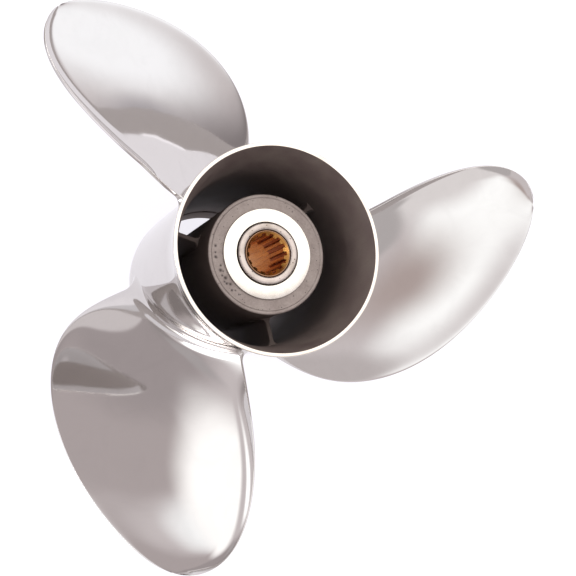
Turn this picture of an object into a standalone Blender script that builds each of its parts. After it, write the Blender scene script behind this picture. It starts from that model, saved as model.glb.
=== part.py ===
# Boat propeller: three raked blades on a flared exhaust barrel, an inner hub on three ribs,
# and a rubber bush that carries a steel sleeve with a splined brass insert.
# It stands on its fore face. +Z is the shaft axis, pointing aft, and the origin is on the
# axis in the plane of the fore face.

import math

import bmesh
import bpy
import numpy as np

MM = 0.001

# Seam between pieces that touch
GAP = 0.3 * MM

# Exhaust barrel
BARREL_LENGTH = 146.0 * MM
BARREL_RADIUS = 50.9 * MM
FLARE_LENGTH = 42.0 * MM
FLARE_RISE = 6.3 * MM
RIM_WALL = 2.2 * MM
LIP_HEIGHT = 12.0 * MM
LIP_DROP = 1.5 * MM
LIP_WALL = 6.5 * MM
SEAT_DEPTH = 10.2 * MM
SEAT_WALL = 4.6 * MM
SEAT_STEP = 0.7 * MM

# Splined brass insert, worked outwards from the tips of its teeth
SPLINE_TEETH = 15
SPLINE_PHASE = 18.0
SPLINE_TIP = 10.0 * MM
TOOTH_HEIGHT = 1.2 * MM
SPLINE_LENGTH = 28.0 * MM
SPACE_AT_TIP = 6.8
SPACE_AT_ROOT = 4.8
BORE_RELIEF = 0.4 * MM
INSERT_WALL = 1.2 * MM
INSERT_BACK = 0.4 * MM
INSERT_FORE = 5.0 * MM
INSERT_LEAD = 2.2 * MM

# Steel sleeve and rubber bush round the insert
SLEEVE_WALL = 3.8 * MM
SLEEVE_FORE = 3.0 * MM
SLEEVE_SHOW = 0.2 * MM
SLEEVE_CROWN = 1.1 * MM
BUSH_WALL = 9.7 * MM
BUSH_FORE = 12.0 * MM

# Inner hub round the bush, and its ribs
HUB_RECESS = 20.2 * MM
HUB_FORE = 6.0 * MM
HUB_WALL = 6.4 * MM
HUB_TAPER = 0.2 * MM
HUB_EDGE = 0.8 * MM
HUB_SHOULDER = 11.0 * MM
GROOVE_WIDTH = 0.5 * MM
LAND_WIDTH = 7.5 * MM
LAND_HEIGHT = 1.2 * MM
LAND_EDGE = 0.3 * MM
RIB_COUNT = 3
RIB_ANGLE = 57.5
RIB_THICKNESS = 2.5 * MM
RIB_RECESS = 23.6 * MM
RIB_FORE = 14.0 * MM
RIB_EDGE = 0.5 * MM

# Blades. A row holds a share of the tip radius, the chord before the tip is rounded, the
# pitch, the skew in degrees, the height of mid-chord and the greatest thickness
TIP_RADIUS = 171.4 * MM
BLADE_COUNT = 3
BLADE_ROWS = (
    (0.3, 103.9, 382.0, -1.8, 61.5, 11.0),
    (0.4, 120.6, 413.0, 2.0, 66.9, 9.2),
    (0.5, 135.4, 432.5, 4.7, 74.5, 7.6),
    (0.6, 145.3, 443.0, 7.6, 83.5, 6.2),
    (0.7, 147.6, 445.5, 11.3, 93.6, 5.0),
    (0.8, 140.5, 442.5, 16.3, 104.9, 3.9),
    (0.9, 124.8, 436.0, 21.9, 116.8, 2.8),
    (1.0, 104.3, 427.0, 26.1, 128.3, 1.8),
)
FAIRING_ORDER = 5
TIP_ROUNDING = 3.8
TIP_CHORD = 2.4 * MM
CAMBER = 0.028
THICKEST_AT = 0.42
TRAILING_EDGE = 2.0 * MM
CUP_WIDTH = 9.0 * MM
CUP_LIFT = 1.5 * MM
CUP_FROM = 0.36
CUP_FULL = 0.5
FILLET = 7.0 * MM
FOOT_EDGE = 0.4 * MM

# Fineness of the facets
BARREL_STEPS = 72
HUB_STEPS = 60
CHORD_STEPS = 16
SPAN_STEPS = 16
FOOT_STEPS = 5
FILLET_STEPS = 4
FLARE_STEPS = 8
EDGE_STEPS = 3
RIB_STEPS = 4

SPLINE_ROOT = SPLINE_TIP + TOOTH_HEIGHT
BORE_RADIUS = SPLINE_ROOT + BORE_RELIEF
INSERT_RADIUS = BORE_RADIUS + INSERT_WALL
SLEEVE_BORE = INSERT_RADIUS + GAP
SLEEVE_RADIUS = SLEEVE_BORE + SLEEVE_WALL
GROOVE_RADIUS = SLEEVE_RADIUS + GROOVE_WIDTH
LAND_RADIUS = GROOVE_RADIUS + LAND_WIDTH
BUSH_RADIUS = SLEEVE_RADIUS + BUSH_WALL
HUB_RADIUS_FORE = BUSH_RADIUS + HUB_WALL
HUB_RADIUS_AFT = HUB_RADIUS_FORE + HUB_TAPER
LIP_BORE = BARREL_RADIUS - LIP_WALL
SEAT_RADIUS = BARREL_RADIUS - SEAT_WALL

HUB_END = BARREL_LENGTH - HUB_RECESS
LAND_TOP = HUB_END + LAND_HEIGHT
FLARE_START = BARREL_LENGTH - FLARE_LENGTH
RIB_AFT = HUB_END - RIB_RECESS
SLEEVE_AFT = LAND_TOP + SLEEVE_SHOW


for old in list(bpy.data.objects):
    bpy.data.objects.remove(old, do_unlink=True)

parts = bpy.data.collections.new("boat_propeller")
cutters = bpy.data.collections.new("cutters")
bpy.context.scene.collection.children.link(parts)
bpy.context.scene.collection.children.link(cutters)


def material(name, color, roughness, metallic):
    made = bpy.data.materials.new(name)
    made.use_nodes = True
    shader = made.node_tree.nodes["Principled BSDF"]
    shader.inputs["Base Color"].default_value = (*color, 1.0)
    shader.inputs["Roughness"].default_value = roughness
    shader.inputs["Metallic"].default_value = metallic
    made.diffuse_color = (*color, 1.0)
    return made


polished = material("polished_stainless", (0.62, 0.58, 0.58), 0.12, 1.0)
cast = material("cast_stainless", (0.30, 0.27, 0.26), 0.6, 1.0)
blasted = material("blasted_stainless", (0.10, 0.08, 0.08), 0.6, 0.8)
rubber = material("black_rubber", (0.02, 0.02, 0.02), 0.7, 0.0)
plated = material("plated_steel", (0.70, 0.68, 0.67), 0.25, 1.0)
brass = material("spline_brass", (0.45, 0.24, 0.09), 0.35, 1.0)


def add(name, mesh, finish):
    obj = bpy.data.objects.new(name, mesh)
    obj.data.materials.append(finish)
    parts.objects.link(obj)
    return obj


def settle(obj, sharp_above=35.0):
    """Applies the modifiers and shades the result smooth, with its corners kept sharp."""
    graph = bpy.context.evaluated_depsgraph_get()
    mesh = bpy.data.meshes.new_from_object(obj.evaluated_get(graph))
    mesh.name = obj.name
    obj.modifiers.clear()
    obj.data = mesh
    mesh.shade_smooth()
    mesh.set_sharp_from_angle(angle=math.radians(sharp_above))


def turned(name, profile, steps, finish):
    """A ring turned about Z from a closed (radius, height) profile, outer side first, going down."""
    mesh = bpy.data.meshes.new(name)
    loop = [(i, (i + 1) % len(profile)) for i in range(len(profile))]
    mesh.from_pydata([(radius, 0.0, height) for radius, height in profile], loop, [])
    obj = add(name, mesh, finish)
    screw = obj.modifiers.new("turn", "SCREW")
    screw.axis = "Z"
    screw.angle = math.tau
    screw.steps = screw.render_steps = steps
    return obj


def arc(centre, radii, start, end, steps):
    """Points of an elliptical arc in the profile's plane, between two angles in degrees."""
    turns = np.radians(np.linspace(start, end, steps + 1))
    return [(centre[0] + radii[0] * math.cos(t), centre[1] + radii[1] * math.sin(t)) for t in turns]


def taper(height, low, high):
    """Radius at a height on the line through two (radius, height) points."""
    return low[0] + (high[0] - low[0]) * (height - low[1]) / (high[1] - low[1])


# Exhaust barrel: a rounded fore lip, a straight middle and a flared aft end


def barrel_outer(height):
    if height < LIP_HEIGHT:
        below = 1.0 - max(height, 0.0) / LIP_HEIGHT
        return BARREL_RADIUS - LIP_DROP * (1.0 - math.sqrt(1.0 - below**2))
    return BARREL_RADIUS + FLARE_RISE * (max(height - FLARE_START, 0.0) / FLARE_LENGTH) ** 2


def barrel_inner(height):
    if height > FLARE_START:
        return barrel_outer(height) - RIM_WALL
    seat = (SEAT_RADIUS + SEAT_STEP, SEAT_DEPTH)
    return taper(height, seat, (BARREL_RADIUS - RIM_WALL, FLARE_START))


def make_barrel():
    half = RIM_WALL / 2
    rim_base = BARREL_LENGTH - half
    rim = (barrel_outer(rim_base) - half, rim_base)
    flare = np.linspace(rim_base, FLARE_START, FLARE_STEPS + 1)
    profile = arc(rim, (half, half), 90.0, 0.0, EDGE_STEPS)
    profile += [(barrel_outer(height), height) for height in flare[1:]]
    lip = (BARREL_RADIUS - LIP_DROP, LIP_HEIGHT)
    profile += arc(lip, (LIP_DROP, LIP_HEIGHT), 0.0, -90.0, 2 * EDGE_STEPS)
    profile += [(LIP_BORE, 0.0), (SEAT_RADIUS, SEAT_DEPTH), (SEAT_RADIUS + SEAT_STEP, SEAT_DEPTH)]
    profile += [(barrel_inner(height), height) for height in flare[:0:-1]]
    profile += arc(rim, (half, half), 180.0, 90.0, EDGE_STEPS)[:-1]
    settle(turned("exhaust_barrel", profile, BARREL_STEPS, polished))


# Inner hub: a heavy tube whose aft end has a machined land round the sleeve


def hub_outer(height):
    return taper(height, (HUB_RADIUS_FORE, HUB_FORE), (HUB_RADIUS_AFT, HUB_END))


def make_hub():
    shoulder = HUB_END - HUB_SHOULDER
    corner = (HUB_RADIUS_AFT - HUB_EDGE, HUB_END - HUB_EDGE)
    profile = [(LAND_RADIUS - LAND_EDGE, LAND_TOP), (LAND_RADIUS, LAND_TOP - LAND_EDGE)]
    profile += [(LAND_RADIUS, HUB_END)]
    profile += arc(corner, (HUB_EDGE, HUB_EDGE), 90.0, 0.0, EDGE_STEPS)
    profile += [(HUB_RADIUS_FORE, HUB_FORE), (BUSH_RADIUS, HUB_FORE)]
    profile += [(BUSH_RADIUS, shoulder), (GROOVE_RADIUS, shoulder)]
    profile += [(GROOVE_RADIUS, LAND_TOP)]
    settle(turned("inner_hub", profile, HUB_STEPS, cast))


# Ribs: radial plates from the inner hub to the barrel


def rib_mesh():
    shape = bmesh.new()
    bmesh.ops.create_cube(shape, size=1.0)
    middle = (RIB_AFT + RIB_FORE) / 2
    for vert in shape.verts:
        vert.co.y *= RIB_THICKNESS
        vert.co.z = middle + vert.co.z * (RIB_AFT - RIB_FORE)
    for height in np.linspace(RIB_FORE, RIB_AFT, RIB_STEPS + 1)[1:-1]:
        whole = shape.verts[:] + shape.edges[:] + shape.faces[:]
        bmesh.ops.bisect_plane(shape, geom=whole, plane_co=(0, 0, height), plane_no=(0, 0, 1))
    for vert in shape.verts:
        inner = hub_outer(vert.co.z) + GAP
        outer = math.sqrt((barrel_inner(vert.co.z) - GAP) ** 2 - vert.co.y**2)
        vert.co.x = outer if vert.co.x > 0 else inner
    mesh = bpy.data.meshes.new("barrel_rib")
    shape.to_mesh(mesh)
    shape.free()
    return mesh


def make_ribs():
    mesh = rib_mesh()
    mesh.materials.append(blasted)
    for number in range(RIB_COUNT):
        obj = bpy.data.objects.new(f"barrel_rib_{number + 1}", mesh)
        parts.objects.link(obj)
        obj.rotation_euler.z = math.radians(RIB_ANGLE + number * 360.0 / RIB_COUNT)
        bevel = obj.modifiers.new("cast_edges", "BEVEL")
        bevel.width = RIB_EDGE
        bevel.segments = 2
        bevel.angle_limit = math.radians(60)


# Rubber bush, steel sleeve and splined brass insert


def make_bush():
    outer, inner = BUSH_RADIUS - GAP, SLEEVE_RADIUS + GAP
    top = HUB_END - HUB_SHOULDER - GAP
    profile = [(outer, top), (outer, BUSH_FORE), (inner, BUSH_FORE), (inner, top)]
    settle(turned("rubber_bush", profile, HUB_STEPS, rubber))


def make_sleeve():
    crown = (SLEEVE_BORE + (SLEEVE_RADIUS - SLEEVE_BORE) / 3, SLEEVE_AFT)
    radii = (SLEEVE_RADIUS - crown[0], SLEEVE_CROWN)
    profile = arc(crown, radii, 90.0, 0.0, EDGE_STEPS)
    profile += [(SLEEVE_RADIUS, SLEEVE_FORE), (SLEEVE_BORE, SLEEVE_FORE)]
    profile += [(SLEEVE_BORE, SLEEVE_AFT + SLEEVE_CROWN)]
    settle(turned("steel_sleeve", profile, HUB_STEPS, plated))


def spline_cutter(bottom, top):
    """A star-shaped bar whose arms are the spaces between the teeth."""
    pitch = math.tau / SPLINE_TEETH
    inside = SPLINE_TIP - TOOTH_HEIGHT
    outline = []
    for number in range(SPLINE_TEETH):
        for side in (-1, 1):
            widths = ((inside, SPACE_AT_TIP), (SPLINE_ROOT, SPACE_AT_ROOT))
            for radius, half_space in widths[::-side]:
                turn = number * pitch + math.radians(SPLINE_PHASE + side * half_space)
                outline.append((radius * math.cos(turn), radius * math.sin(turn), bottom))
    shape = bmesh.new()
    base = shape.faces.new([shape.verts.new(point) for point in outline])
    grown = bmesh.ops.extrude_face_region(shape, geom=[base])["geom"]
    raised = [piece for piece in grown if isinstance(piece, bmesh.types.BMVert)]
    bmesh.ops.translate(shape, verts=raised, vec=(0, 0, top - bottom))
    bmesh.ops.recalc_face_normals(shape, faces=shape.faces)
    mesh = bpy.data.meshes.new("spline_spaces")
    shape.to_mesh(mesh)
    shape.free()
    cutter = bpy.data.objects.new("spline_spaces", mesh)
    cutter.hide_render = True
    cutter.display_type = "WIRE"
    cutters.objects.link(cutter)
    return cutter


def make_insert():
    top = SLEEVE_AFT + SLEEVE_CROWN - INSERT_BACK
    spline_end = top - SPLINE_LENGTH
    profile = [(INSERT_RADIUS, top), (INSERT_RADIUS, INSERT_FORE), (BORE_RADIUS, INSERT_FORE)]
    profile += [(BORE_RADIUS, spline_end), (SPLINE_TIP, spline_end)]
    profile += [(SPLINE_TIP, top - INSERT_LEAD), (SPLINE_TIP + INSERT_LEAD, top)]
    insert = turned("spline_insert", profile, HUB_STEPS, brass)
    cut = insert.modifiers.new("tooth_spaces", "BOOLEAN")
    cut.operation = "DIFFERENCE"
    cut.object = spline_cutter(spline_end - INSERT_LEAD, top + INSERT_LEAD)
    settle(insert)


# Blades: sections laid round the shaft as helices, faired through the rows above


def faired(values):
    """A fair curve through one column of the blade rows, against share of tip radius."""
    shares = [row[0] for row in BLADE_ROWS]
    return np.poly1d(np.polyfit(shares, values, FAIRING_ORDER))


_, chords, pitches, skews, heights, thicknesses = zip(*BLADE_ROWS)
chord_at = faired(chords)
pitch_at = faired(pitches)
skew_at = faired(skews)
height_at = faired(heights)
thickness_at = faired(thicknesses)


def smooth_step(value, start, end):
    share = min(max((value - start) / (end - start), 0.0), 1.0)
    return share * share * (3.0 - 2.0 * share)


def section(radius, growth=0.0):
    """Closed outline of the blade at a radius, unrolled flat: nose, back, blunt tail, then face.

    X runs from the leading to the trailing edge and Y points aft. Growth moves it outwards."""
    share = radius / TIP_RADIUS
    root = BARREL_RADIUS / TIP_RADIUS
    spread = max((share - root) / (1.0 - root), 0.0)
    chord = chord_at(share) * MM * math.sqrt(max(1.0 - spread**TIP_ROUNDING, 0.0))
    chord = math.hypot(chord, TIP_CHORD)
    thick = thickness_at(share) * MM
    cup_width = min(CUP_WIDTH, 0.3 * chord)
    cup_lift = CUP_LIFT * smooth_step(share, CUP_FROM, CUP_FULL) * cup_width / CUP_WIDTH
    edge = min(TRAILING_EDGE, thick) / 2
    back, face = [], []
    for turn in np.linspace(0.0, math.pi, CHORD_STEPS + 1):
        along = (1.0 - math.cos(turn)) / 2
        span = THICKEST_AT if along < THICKEST_AT else 1.0 - THICKEST_AT
        away = abs(along - THICKEST_AT) / span
        swell = math.sqrt(1.0 - away**2) if along < THICKEST_AT else 1.0 - away**2
        half = (thick / 2 - edge * along) * swell + edge * along
        hook = max(along - 1.0 + cup_width / chord, 0.0) * chord / cup_width
        mean = cup_lift * hook**2 - CAMBER * chord * 4.0 * along * (1.0 - along)
        back.append(((along - 0.5) * chord, mean - half))
        face.append(((along - 0.5) * chord, mean + half))
    tail = np.linspace(back[-1], face[-1], FOOT_STEPS + 1)[1:-1].tolist()
    points = np.array(back + tail + face[:0:-1])
    if growth > 0.0:
        tangent = np.roll(points, -1, axis=0) - np.roll(points, 1, axis=0)
        normal = np.column_stack([tangent[:, 1], -tangent[:, 0]])
        points = points + growth * normal / np.linalg.norm(normal, axis=1, keepdims=True)
    return points


def wrap(points, radius, above_barrel=None):
    """Lays an unrolled outline round the shaft, at its radius or at a height above the barrel."""
    share = radius / TIP_RADIUS
    slope = math.atan2(pitch_at(share) * MM, math.tau * radius)
    laid = []
    for x, y in points:
        around = math.radians(skew_at(share)) + (x * math.cos(slope) - y * math.sin(slope)) / radius
        height = height_at(share) * MM + x * math.sin(slope) + y * math.cos(slope)
        reach = radius if above_barrel is None else barrel_outer(height) + GAP + above_barrel
        laid.append((reach * math.cos(around), reach * math.sin(around), height))
    return laid


def foot_rows():
    """Outlines up the root fillet, from a thin upright edge on the barrel to the plain section."""
    rows = [(0.0, FILLET)]
    for turn in np.linspace(0.0, math.pi / 2, FILLET_STEPS + 1):
        rows.append((FOOT_EDGE + FILLET * (1.0 - math.cos(turn)), FILLET * (1.0 - math.sin(turn))))
    base = BARREL_RADIUS + GAP
    return [wrap(section(base + rise, growth), base + rise, rise) for rise, growth in rows]


def blade_mesh():
    shape = bmesh.new()
    rows = foot_rows()
    start = BARREL_RADIUS + GAP + FOOT_EDGE + FILLET
    for turn in np.linspace(0.0, math.pi / 2, SPAN_STEPS + 1)[1:]:
        radius = start + (TIP_RADIUS - start) * math.sin(turn)
        rows.append(wrap(section(radius), radius))
    rings = [[shape.verts.new(point) for point in row] for row in rows]
    count = len(rings[0])
    for low, high in zip(rings, rings[1:]):
        for i in range(count):
            k = (i + 1) % count
            shape.faces.new((low[i], low[k], high[k], high[i]))
    close_tip(shape, rings[-1])
    close_foot(shape, rings[0])
    bmesh.ops.recalc_face_normals(shape, faces=shape.faces)
    mesh = bpy.data.meshes.new("blade")
    shape.to_mesh(mesh)
    shape.free()
    mesh.shade_smooth()
    mesh.set_sharp_from_angle(angle=math.radians(40))
    return mesh


def sides(ring):
    """The vertices of the back and of the face, both from the nose on, and those across the tail."""
    turn = CHORD_STEPS + FOOT_STEPS - 1
    return ring[: CHORD_STEPS + 1], [ring[0]] + ring[:turn:-1], ring[CHORD_STEPS + 1 : turn + 1]


def close_tip(shape, ring):
    back, face, tail = sides(ring)
    shape.faces.new((back[0], back[1], face[1]))
    for i in range(1, CHORD_STEPS - 1):
        shape.faces.new((back[i], back[i + 1], face[i + 1], face[i]))
    shape.faces.new((*back[-2:], *tail, *face[:-3:-1]))


def close_foot(shape, ring):
    """Closes the root with small facets that follow the barrel."""
    back, face, tail = sides(ring)
    grid = []
    for low, high in list(zip(back, face))[1:-1]:
        line = [low]
        for share in np.linspace(0.0, 1.0, FOOT_STEPS + 1)[1:-1]:
            point = low.co.lerp(high.co, share)
            reach = (barrel_outer(point.z) + GAP) / math.hypot(point.x, point.y)
            line.append(shape.verts.new((point.x * reach, point.y * reach, point.z)))
        grid.append(line + [high])
    grid.append([back[-1], *tail, face[-1]])
    for j in range(FOOT_STEPS):
        shape.faces.new((back[0], grid[0][j], grid[0][j + 1]))
    for low, high in zip(grid, grid[1:]):
        for j in range(FOOT_STEPS):
            shape.faces.new((low[j], high[j], high[j + 1]))
            shape.faces.new((low[j], high[j + 1], low[j + 1]))


def make_blades():
    mesh = blade_mesh()
    mesh.materials.append(polished)
    for number in range(BLADE_COUNT):
        obj = bpy.data.objects.new(f"blade_{number + 1}", mesh)
        parts.objects.link(obj)
        obj.rotation_euler.z = number * math.tau / BLADE_COUNT


make_barrel()
make_hub()
make_ribs()
make_bush()
make_sleeve()
make_insert()
make_blades()
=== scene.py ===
import math

import bpy
import numpy as np
from mathutils import Matrix, Vector


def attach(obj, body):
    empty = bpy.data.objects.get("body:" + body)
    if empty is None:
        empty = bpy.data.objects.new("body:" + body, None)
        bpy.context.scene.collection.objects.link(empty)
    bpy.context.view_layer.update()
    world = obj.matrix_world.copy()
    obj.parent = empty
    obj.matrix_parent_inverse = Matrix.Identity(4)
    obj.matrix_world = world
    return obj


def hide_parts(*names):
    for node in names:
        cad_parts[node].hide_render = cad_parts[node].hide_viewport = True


# Three-blade boat propeller in polished cast stainless, standing on its fore face.
# Lengths in the dictionaries are millimetres and angles are degrees. +Z is the shaft, pointing aft.

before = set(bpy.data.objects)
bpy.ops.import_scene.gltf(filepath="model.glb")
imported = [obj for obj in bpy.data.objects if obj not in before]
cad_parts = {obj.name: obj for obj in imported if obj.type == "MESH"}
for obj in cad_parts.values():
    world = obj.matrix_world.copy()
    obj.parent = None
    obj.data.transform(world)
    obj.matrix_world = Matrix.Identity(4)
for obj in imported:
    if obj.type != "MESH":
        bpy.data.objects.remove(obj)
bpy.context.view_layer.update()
print("frame loaded")

mm = 0.001

for old in [thing for thing in bpy.data.objects if thing.type in ("LIGHT", "CAMERA")]:
    bpy.data.objects.remove(old, do_unlink=True)


# Camera: looking down on the aft end, a little from one side

cameraView = {
    "place": (-151.1, -130.9, 631.5),
    "turn": (10.02, -18.04, 13.72),
    "lens": 62.74,
    "sensor": 36.0,
    "shift": (0.0767, -0.0698),  # the picture is cut a little off the lens axis
}


def makeCamera(view):
    lens = bpy.data.cameras.new("camera")
    lens.lens = view["lens"]
    lens.sensor_width = view["sensor"]
    lens.shift_x, lens.shift_y = view["shift"]
    camera = bpy.data.objects.new("camera", lens)
    camera.location = Vector(view["place"]) * mm
    camera.rotation_euler = [math.radians(angle) for angle in view["turn"]]
    bpy.context.scene.collection.objects.link(camera)
    bpy.context.scene.camera = camera


makeCamera(cameraView)
print("camera set")


# Helpers for meshes


def finishMesh(name, points, faces, sharpAbove):
    # an object from points in millimetres, smooth but for edges sharper than an angle
    mesh = bpy.data.meshes.new(name)
    mesh.from_pydata([tuple(point) for point in np.asarray(points) * mm], [], faces)
    mesh.update()
    mesh.shade_smooth()
    mesh.set_sharp_from_angle(angle=math.radians(sharpAbove))
    piece = bpy.data.objects.new(name, mesh)
    bpy.context.scene.collection.objects.link(piece)
    return piece


def gridFaces(rows, columns, closeRows=False, closeColumns=True, start=0):
    # quads of a grid of points, row by row; the columns run round each ring
    faces = []
    for i in range(rows if closeRows else rows - 1):
        low, high = start + i * columns, start + (i + 1) % rows * columns
        for j in range(columns if closeColumns else columns - 1):
            k = (j + 1) % columns
            faces.append((low + j, low + k, high + k, high + j))
    return faces


def arc(centre, radii, first, last, steps):
    turns = np.radians(np.linspace(first, last, steps + 1))
    return [(centre[0] + radii[0] * math.cos(t), centre[1] + radii[1] * math.sin(t)) for t in turns]


def turnedPiece(name, profile, steps, sharpAbove):
    # a ring turned about Z from a closed (radius, height) profile, outer side first, going down
    angle = np.linspace(0.0, math.tau, steps, endpoint=False)
    profile = np.asarray(profile, float)
    radius = np.repeat(profile[:, :1], steps, axis=1)
    height = np.repeat(profile[:, 1:], steps, axis=1)
    points = np.stack([radius * np.cos(angle), radius * np.sin(angle), height], axis=-1)
    faces = [face[::-1] for face in gridFaces(len(profile), steps, closeRows=True)]
    return finishMesh(name, points.reshape(-1, 3), faces, sharpAbove)


def linear(hexColour):
    # sRGB hex to the linear colour that Blender's sockets take
    channels = [int(hexColour[i : i + 2], 16) / 255 for i in (1, 3, 5)]
    bent = [c / 12.92 if c <= 0.04045 else ((c + 0.055) / 1.055) ** 2.4 for c in channels]
    return (*bent, 1.0)


def addNode(tree, kind, values=None, **settings):
    # one shader node, with its settings, and its sockets either set or linked
    node = tree.nodes.new("ShaderNode" + kind)
    for key, value in settings.items():
        setattr(node, key, value)
    for socket, value in (values or {}).items():
        if isinstance(value, bpy.types.NodeSocket):
            tree.links.new(value, node.inputs[socket])
        else:
            node.inputs[socket].default_value = value
    return node


def newMaterial(name, values):
    made = bpy.data.materials.new(name)
    made.use_nodes = True
    tree = made.node_tree
    shader = tree.nodes["Principled BSDF"]
    for socket, value in values.items():
        shader.inputs[socket].default_value = value
    return made, tree, shader


# Exhaust barrel: rounded fore lip, straight middle, flared aft end with a machined rim

barrelSize = {
    "length": 146.0,
    "radius": 50.9,
    "flareLength": 42.0,
    "flareRise": 6.3,
    "rimWall": 2.2,
    "rimEdge": 0.3,
    "lipHeight": 12.0,
    "lipDrop": 1.5,
    "lipWall": 6.5,
    "lipEdge": 0.6,
    "seatDepth": 10.2,
    "seatWall": 4.6,
    "seatStep": 0.7,
    "steps": 288,
    "edgeSteps": 4,
    "lipSteps": 15,
    "flareSteps": 39,
    "wallSteps": 23,
    "boreSteps": 19,
}


def barrelOuter(height):
    # outer radius at a height: an elliptical lip, a straight wall and a parabolic flare
    size = barrelSize
    height = np.asarray(height, float)
    below = 1.0 - np.clip(height, 0.0, size["lipHeight"]) / size["lipHeight"]
    lip = size["lipDrop"] * (1.0 - np.sqrt(1.0 - below**2))
    past = np.maximum(height - size["length"] + size["flareLength"], 0.0) / size["flareLength"]
    return size["radius"] - lip + size["flareRise"] * past**2


def barrelInner(height):
    # inner radius at a height above the seat
    size = barrelSize
    height = np.asarray(height, float)
    flareStart = size["length"] - size["flareLength"]
    low = size["radius"] - size["seatWall"] + size["seatStep"]
    high = size["radius"] - size["rimWall"]
    straight = low + (high - low) * (height - size["seatDepth"]) / (flareStart - size["seatDepth"])
    return np.where(height > flareStart, barrelOuter(height) - size["rimWall"], straight)


def makeBarrel():
    size = barrelSize
    edge, lipEdge, edgeSteps = size["rimEdge"], size["lipEdge"], size["edgeSteps"]
    top = size["length"]
    outerRim = float(barrelOuter(top - edge))
    innerRim = outerRim - size["rimWall"]
    profile = arc((outerRim - edge, top - edge), (edge, edge), 90.0, 0.0, edgeSteps)
    down = np.linspace(top - edge, top - size["flareLength"], size["flareSteps"] + 1)[1:]
    profile += [(float(barrelOuter(height)), height) for height in down]
    wall = np.linspace(down[-1], size["lipHeight"], size["wallSteps"] + 1)[1:-1]
    profile += [(size["radius"], height) for height in wall]
    for turn in np.linspace(0.0, math.pi / 2, size["lipSteps"] + 1):
        height = size["lipHeight"] * (1.0 - math.sin(turn))
        profile.append((float(barrelOuter(height)), height))
    bore = size["radius"] - size["lipWall"]
    profile += arc((bore + lipEdge, lipEdge), (lipEdge, lipEdge), 270.0, 180.0, edgeSteps)
    seat = size["radius"] - size["seatWall"]
    profile += [(seat, size["seatDepth"]), (seat + size["seatStep"], size["seatDepth"])]
    up = np.linspace(size["seatDepth"], top - size["flareLength"], size["boreSteps"] + 1)[1:]
    up = np.concatenate([up, np.linspace(up[-1], top - edge, size["flareSteps"] + 1)[1:]])
    profile += [(float(barrelInner(height)), height) for height in up]
    profile += arc((innerRim + edge, top - edge), (edge, edge), 180.0, 90.0, edgeSteps)
    return turnedPiece("exhaustBarrel", profile, size["steps"], sharpAbove=28.0)


exhaustBarrel = makeBarrel()
print("barrel made")


# Blades: sections laid round the shaft as helices

bladeSize = {
    "tipRadius": 171.2,
    "count": 3,
    # share of tip radius, chord before the tip is rounded, pitch, skew, height of mid-chord, thickness
    "rows": (
        (0.3, 103.9, 382.0, -1.8, 61.5, 11.0),
        (0.4, 120.6, 413.0, 2.0, 66.9, 9.2),
        (0.5, 135.4, 432.5, 4.7, 74.5, 7.6),
        (0.6, 145.3, 443.0, 7.6, 83.5, 6.2),
        (0.7, 147.6, 445.5, 11.3, 93.6, 5.0),
        (0.8, 140.5, 442.5, 16.3, 104.9, 3.9),
        (0.9, 124.8, 436.0, 21.9, 116.8, 2.8),
        (1.0, 104.3, 427.0, 26.1, 128.3, 1.8),
    ),
    "fairingOrder": 5,
    "tipRounding": 3.8,
    "tipChord": 2.4,
    "camber": 0.028,
    "thickestAt": 0.42,
    "trailingEdge": 2.0,
    "edgeRound": 0.3,
    "edgeShare": 0.12,  # where the chord is short, the edge is no thicker than this share of it
    "cornerShare": 0.6,
    "cupWidth": 9.0,
    "cupShare": 0.3,
    "cupLift": 1.5,
    "cupFrom": 0.36,
    "cupFull": 0.5,
    "fillet": 7.0,
    "skirtWidth": 6.0,  # past its fillet the root runs on, just under the barrel's skin
    "skirtDepth": 0.12,
    "chordSteps": 84,
    "spanSteps": 96,
    "filletSteps": 22,
    "tailSteps": 6,
}


def faired(values):
    # fair curve through one column of the blade rows, so that mirrored light runs smoothly
    shares = [row[0] for row in bladeSize["rows"]]
    return np.poly1d(np.polyfit(shares, values, bladeSize["fairingOrder"]))


columns = list(zip(*bladeSize["rows"]))[1:]
chordAt, pitchAt, skewAt, heightAt, thicknessAt = [faired(column) for column in columns]


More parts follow.
